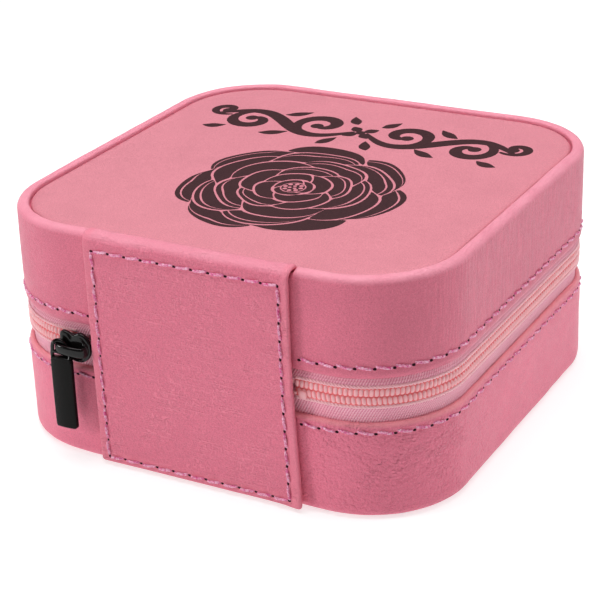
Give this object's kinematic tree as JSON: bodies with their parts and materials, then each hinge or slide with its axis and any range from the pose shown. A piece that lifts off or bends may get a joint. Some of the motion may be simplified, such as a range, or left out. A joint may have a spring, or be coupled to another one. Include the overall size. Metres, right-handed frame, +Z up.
{
  "type": "travel jewelry case",
  "caption": "Square leather-covered travel jewelry case with rounded corners, a zip all round, a stitched leather hinge panel, ring rolls, divided tray, necklace straps and lid pocket.",
  "frame": {"origin": "centre of the flat underside that the case rests on", "axes": "+Z up, front opening side towards -Y, leather hinge panel and zip slider on the +Y side, slider towards +X"},
  "size_m": [0.1054, 0.1105, 0.0535],
  "materials": {
    "pink_leather": "pebbled artificial leather, satin, with tonal stitching",
    "velvet_lining": "short-pile velvet",
    "grey_board": "pressed grey board, hidden inside",
    "foam_pad": "thin foam, hidden inside",
    "zip_tape": "twill woven tape",
    "zip_coil": "nylon coil",
    "black_metal": "glossy black lacquer",
    "snap_metal": "polished snap metal",
    "elastic_band": "gathered elastic"
  },
  "bodies": {
    "base": {"base_leather_wrap": "pink_leather", "base_bottom_leather": "pink_leather", "base_floor_board": "grey_board", "base_wall_board": "grey_board", "base_lining": "velvet_lining", "long_divider": "velvet_lining", "ring_roll_1": "velvet_lining", "ring_roll_2": "velvet_lining", "ring_roll_3": "velvet_lining", "ring_roll_4": "velvet_lining", "ring_roll_5": "velvet_lining", "ring_roll_6": "velvet_lining", "hinge_panel_lower": "pink_leather", "hinge_backing_lower": "velvet_lining", "zip_tape_lower": "zip_tape", "zip_coil_lower": "zip_coil", "zip_bottom_stop": "zip_coil"},
    "lid": {"lid_leather_wrap": "pink_leather", "lid_top_leather": "pink_leather", "lid_top_pad": "foam_pad", "lid_top_board": "grey_board", "lid_wall_board": "grey_board", "lid_lining": "velvet_lining", "lid_pocket": "velvet_lining", "pocket_elastic": "elastic_band", "strap_mount_strip": "pink_leather", "snap_stud_1": "snap_metal", "snap_stud_2": "snap_metal", "snap_stud_3": "snap_metal", "hinge_panel_upper": "pink_leather", "hinge_backing_upper": "velvet_lining", "zip_tape_upper": "zip_tape", "zip_coil_upper": "zip_coil"},
    "slider": {"slider_body": "black_metal"},
    "pull": {"pull_tab": "black_metal"},
    "strap_1": {"necklace_strap_1": "pink_leather", "snap_cap_1": "snap_metal"},
    "strap_2": {"necklace_strap_2": "pink_leather", "snap_cap_2": "snap_metal"},
    "strap_3": {"necklace_strap_3": "pink_leather", "snap_cap_3": "snap_metal"},
    "front_divider": {"cross_divider_front": "velvet_lining"},
    "rear_divider": {"cross_divider_rear": "velvet_lining"}
  },
  "joints": [
    {"name": "lid_hinge", "type": "hinge", "parent": "base", "child": "lid", "pos_m": [0, 0.0533, 0.0268], "axis": [-1, 0, 0], "range_deg": [0, 95]},
    {"name": "slider_travel", "type": "hinge", "parent": "base", "child": "slider", "pos_m": [0.0305, 0.0305, 0.0271], "axis": [0, 0, -1], "range_deg": [0, 90]},
    {"name": "pull_swing", "type": "hinge", "parent": "slider", "child": "pull", "pos_m": [0.0308, 0.05615, 0.0271], "axis": [1, 0, 0], "range_deg": [0, 60]},
    {"name": "strap_swing_1", "type": "hinge", "parent": "lid", "child": "strap_1", "pos_m": [-0.024, -0.0425, 0.046], "axis": [-1, 0, 0], "range_deg": [0, 75]},
    {"name": "strap_swing_2", "type": "hinge", "parent": "lid", "child": "strap_2", "pos_m": [0, -0.0425, 0.046], "axis": [-1, 0, 0], "range_deg": [0, 75]},
    {"name": "strap_swing_3", "type": "hinge", "parent": "lid", "child": "strap_3", "pos_m": [0.024, -0.0425, 0.046], "axis": [-1, 0, 0], "range_deg": [0, 75]},
    {"name": "front_divider_lift", "type": "slide", "parent": "base", "child": "front_divider", "axis": [0, 0, 1], "range_m": [0, 0.02]},
    {"name": "rear_divider_lift", "type": "slide", "parent": "base", "child": "rear_divider", "axis": [0, 0, 1], "range_m": [0, 0.02]}
  ]
}
